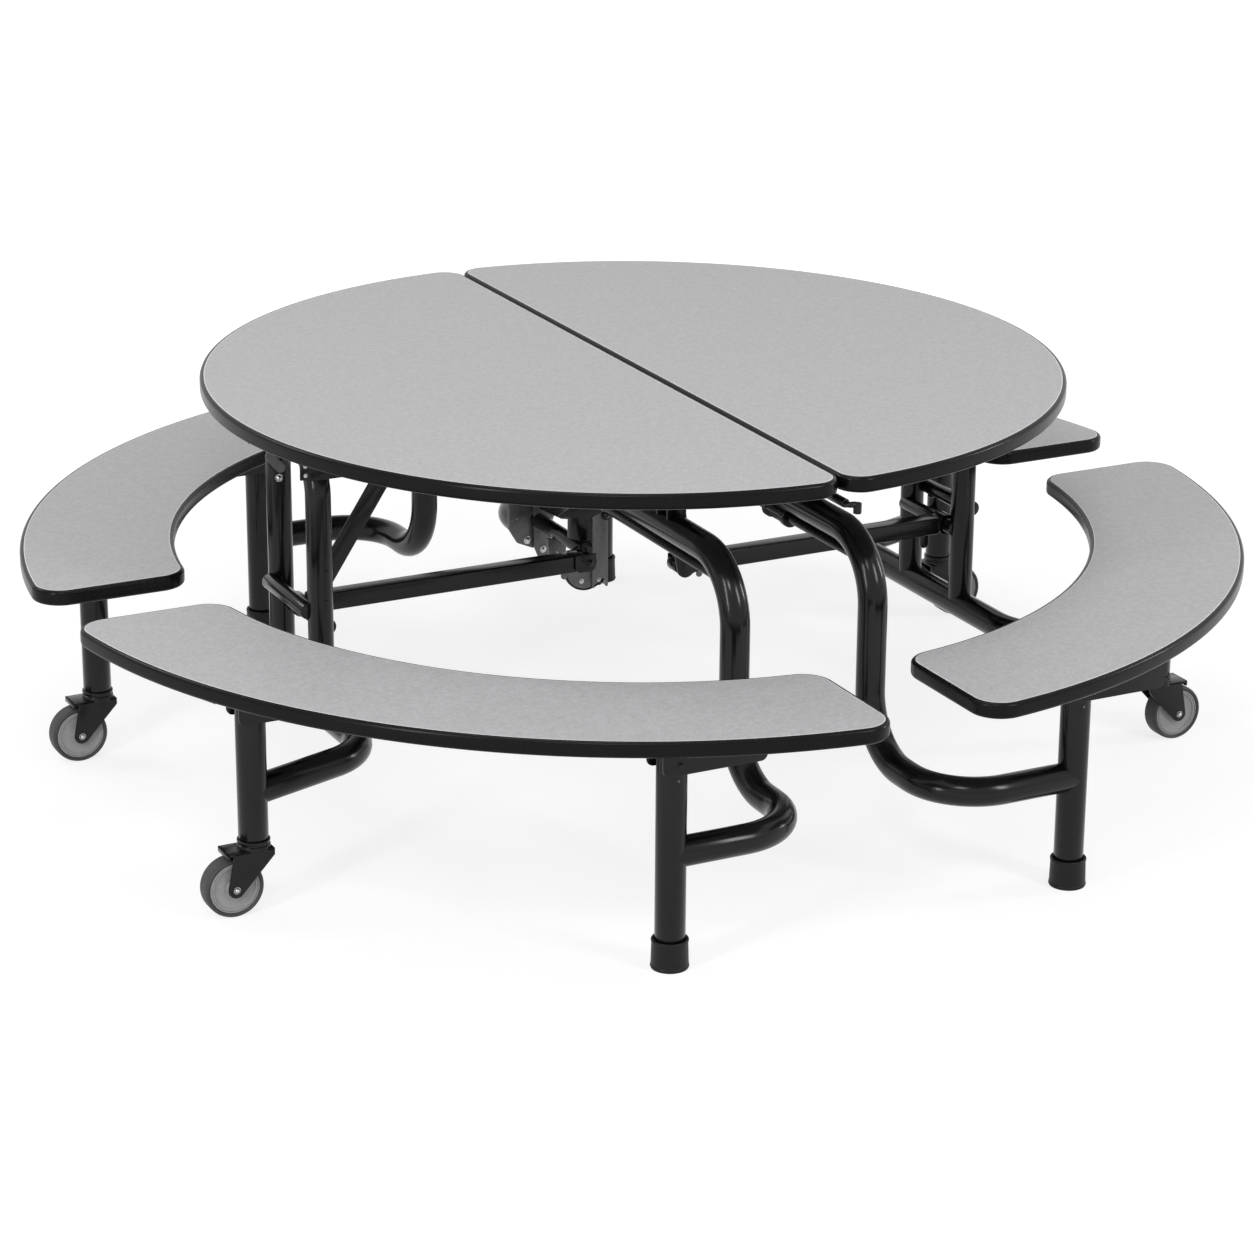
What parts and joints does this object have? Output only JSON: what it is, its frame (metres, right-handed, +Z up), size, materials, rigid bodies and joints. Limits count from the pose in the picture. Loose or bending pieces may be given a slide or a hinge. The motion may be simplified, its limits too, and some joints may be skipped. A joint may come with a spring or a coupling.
{
  "type": "cafeteria folding table with benches",
  "caption": "Round folding cafeteria table with curved benches on black tube frames, swivel casters and glides; the halves fold up about a centre hanger.",
  "frame": {"origin": "on the floor, under the middle of the tabletop's seam", "axes": "+Z up, Y along the seam between the two tabletop halves, X across it with half A at x < 0"},
  "size_m": [2.155, 2.155, 0.725],
  "materials": {
    "laminate": "light grey decorative laminate with a fine mottle over a wood core",
    "edge_band": "black moulded edge band, satin gloss",
    "black_steel": "black powder coat, satin gloss",
    "grey_steel": "grey plated steel",
    "black_rubber": "matt black rubber",
    "tyre_rubber": "dark grey rubber tread",
    "hub_plastic": "moulded grey plastic"
  },
  "bodies": {
    "outer_frame_a": {"post_hoop_a": "black_steel", "low_rail_a": "black_steel", "prop_brace_a": "black_steel"},
    "outer_frame_b": {"post_hoop_b": "black_steel", "low_rail_b": "black_steel", "prop_brace_b": "black_steel"},
    "top_a": {"top_board_a": "laminate", "top_edge_a": "edge_band", "outer_saddle_a": "black_steel", "inner_saddle_a": "black_steel", "seam_bracket_a": "black_steel"},
    "top_b": {"top_board_b": "laminate", "top_edge_b": "edge_band", "outer_saddle_b": "black_steel", "inner_saddle_b": "black_steel", "seam_bracket_b": "black_steel", "latch_guide": "black_steel"},
    "hanger": {"hanger_yoke": "black_steel", "hanger_channel": "grey_steel", "hanger_lever_plate": "grey_steel", "hanger_cross_tube": "black_steel"},
    "inner_frame_a": {"s_frame_a": "black_steel", "stiffener_tube_a": "black_steel", "glide_cap_left": "black_rubber", "glide_cap_front": "black_rubber"},
    "inner_frame_b": {"s_frame_b": "black_steel", "stiffener_tube_b": "black_steel", "glide_cap_right": "black_rubber", "glide_cap_back": "black_rubber"},
    "bench_left": {"bench_left_board": "laminate", "bench_left_edge": "edge_band", "bench_left_caster_bracket": "black_steel", "bench_left_glide_bracket": "black_steel"},
    "bench_front": {"bench_front_board": "laminate", "bench_front_edge": "edge_band", "bench_front_caster_bracket": "black_steel", "bench_front_glide_bracket": "black_steel"},
    "bench_right": {"bench_right_board": "laminate", "bench_right_edge": "edge_band", "bench_right_caster_bracket": "black_steel", "bench_right_glide_bracket": "black_steel"},
    "bench_back": {"bench_back_board": "laminate", "bench_back_edge": "edge_band", "bench_back_caster_bracket": "black_steel", "bench_back_glide_bracket": "black_steel"},
    "link_bar_a": {"link_bar_a": "black_steel"},
    "link_bar_b": {"link_bar_b": "black_steel"},
    "caster_left": {"caster_left_fork": "black_steel"},
    "caster_front": {"caster_front_fork": "black_steel"},
    "caster_right": {"caster_right_fork": "black_steel"},
    "caster_back": {"caster_back_fork": "black_steel"},
    "wheel_left": {"caster_left_hub": "hub_plastic", "caster_left_tyre": "tyre_rubber"},
    "wheel_front": {"caster_front_hub": "hub_plastic", "caster_front_tyre": "tyre_rubber"},
    "wheel_right": {"caster_right_hub": "hub_plastic", "caster_right_tyre": "tyre_rubber"},
    "wheel_back": {"caster_back_hub": "hub_plastic", "caster_back_tyre": "tyre_rubber"},
    "latch": {"latch_rod": "black_steel"}
  },
  "joints": [
    {"name": "fold", "type": "hinge", "parent": "outer_frame_a", "child": "top_a", "pos_m": [-0.64, 0, 0.663], "axis": [0, -1, 0], "range_deg": [0, 84]},
    {"name": "hanger_turn", "type": "hinge", "parent": "top_a", "child": "hanger", "pos_m": [-0.085, 0, 0.663], "axis": [0, 1, 0], "range_deg": [0, 84]},
    {"name": "top_b_turn", "type": "hinge", "parent": "hanger", "child": "top_b", "pos_m": [0.085, 0, 0.663], "axis": [0, 1, 0], "range_deg": [0, 84]},
    {"name": "outer_frame_b_turn", "type": "hinge", "parent": "top_b", "child": "outer_frame_b", "pos_m": [0.64, 0, 0.663], "axis": [0, -1, 0], "range_deg": [0, 84]},
    {"name": "inner_frame_a_turn", "type": "hinge", "parent": "top_a", "child": "inner_frame_a", "pos_m": [-0.13, 0, 0.663], "axis": [0, 1, 0], "range_deg": [0, 84]},
    {"name": "inner_frame_b_turn", "type": "hinge", "parent": "top_b", "child": "inner_frame_b", "pos_m": [0.13, 0, 0.663], "axis": [0, -1, 0], "range_deg": [0, 84]},
    {"name": "bench_left_turn", "type": "hinge", "parent": "outer_frame_a", "child": "bench_left", "pos_m": [-0.885, 0.385, 0.355], "axis": [0, -1, 0], "range_deg": [0, 84]},
    {"name": "bench_front_turn", "type": "hinge", "parent": "outer_frame_a", "child": "bench_front", "pos_m": [-0.885, -0.385, 0.355], "axis": [0, -1, 0], "range_deg": [0, 84]},
    {"name": "bench_right_turn", "type": "hinge", "parent": "outer_frame_b", "child": "bench_right", "pos_m": [0.885, -0.385, 0.355], "axis": [0, 1, 0], "range_deg": [0, 84]},
    {"name": "bench_back_turn", "type": "hinge", "parent": "outer_frame_b", "child": "bench_back", "pos_m": [0.885, 0.385, 0.355], "axis": [0, 1, 0], "range_deg": [0, 84]},
    {"name": "link_bar_a_turn", "type": "hinge", "parent": "outer_frame_a", "child": "link_bar_a", "pos_m": [-0.625, 0.046, 0.358], "axis": [0, -1, 0], "range_deg": [0, 84]},
    {"name": "link_bar_b_turn", "type": "hinge", "parent": "outer_frame_b", "child": "link_bar_b", "pos_m": [0.625, -0.046, 0.358], "axis": [0, 1, 0], "range_deg": [0, 84]},
    {"name": "caster_left_swivel", "type": "hinge", "parent": "outer_frame_a", "child": "caster_left", "pos_m": [-0.885, 0.385, 0.13], "axis": [0, 0, 1], "continuous": true},
    {"name": "caster_front_swivel", "type": "hinge", "parent": "outer_frame_a", "child": "caster_front", "pos_m": [-0.885, -0.385, 0.13], "axis": [0, 0, 1], "continuous": true},
    {"name": "caster_right_swivel", "type": "hinge", "parent": "outer_frame_b", "child": "caster_right", "pos_m": [0.885, -0.385, 0.13], "axis": [0, 0, 1], "continuous": true},
    {"name": "caster_back_swivel", "type": "hinge", "parent": "outer_frame_b", "child": "caster_back", "pos_m": [0.885, 0.385, 0.13], "axis": [0, 0, 1], "continuous": true},
    {"name": "wheel_left_spin", "type": "hinge", "parent": "caster_left", "child": "wheel_left", "pos_m": [-0.925, 0.385, 0.051], "axis": [0, 1, 0], "continuous": true},
    {"name": "wheel_front_spin", "type": "hinge", "parent": "caster_front", "child": "wheel_front", "pos_m": [-0.925, -0.385, 0.051], "axis": [0, 1, 0], "continuous": true},
    {"name": "wheel_right_spin", "type": "hinge", "parent": "caster_right", "child": "wheel_right", "pos_m": [0.925, -0.385, 0.051], "axis": [0, 1, 0], "continuous": true},
    {"name": "wheel_back_spin", "type": "hinge", "parent": "caster_back", "child": "wheel_back", "pos_m": [0.925, 0.385, 0.051], "axis": [0, 1, 0], "continuous": true},
    {"name": "latch_turn", "type": "hinge", "parent": "top_b", "child": "latch", "pos_m": [0.012, -0.562, 0.677], "axis": [0, 1, 0], "range_deg": [0, 45], "stiffness_Nm_per_rad": 0.3}
  ],
  "couplings": [
    {"joint": "hanger_turn", "follows": "fold", "ratio": 1},
    {"joint": "top_b_turn", "follows": "fold", "ratio": 1},
    {"joint": "outer_frame_b_turn", "follows": "fold", "ratio": 1},
    {"joint": "inner_frame_a_turn", "follows": "fold", "ratio": 1},
    {"joint": "inner_frame_b_turn", "follows": "fold", "ratio": 1},
    {"joint": "bench_left_turn", "follows": "fold", "ratio": 1},
    {"joint": "bench_front_turn", "follows": "fold", "ratio": 1},
    {"joint": "bench_right_turn", "follows": "fold", "ratio": 1},
    {"joint": "bench_back_turn", "follows": "fold", "ratio": 1},
    {"joint": "link_bar_a_turn", "follows": "fold", "ratio": 1},
    {"joint": "link_bar_b_turn", "follows": "fold", "ratio": 1}
  ]
}
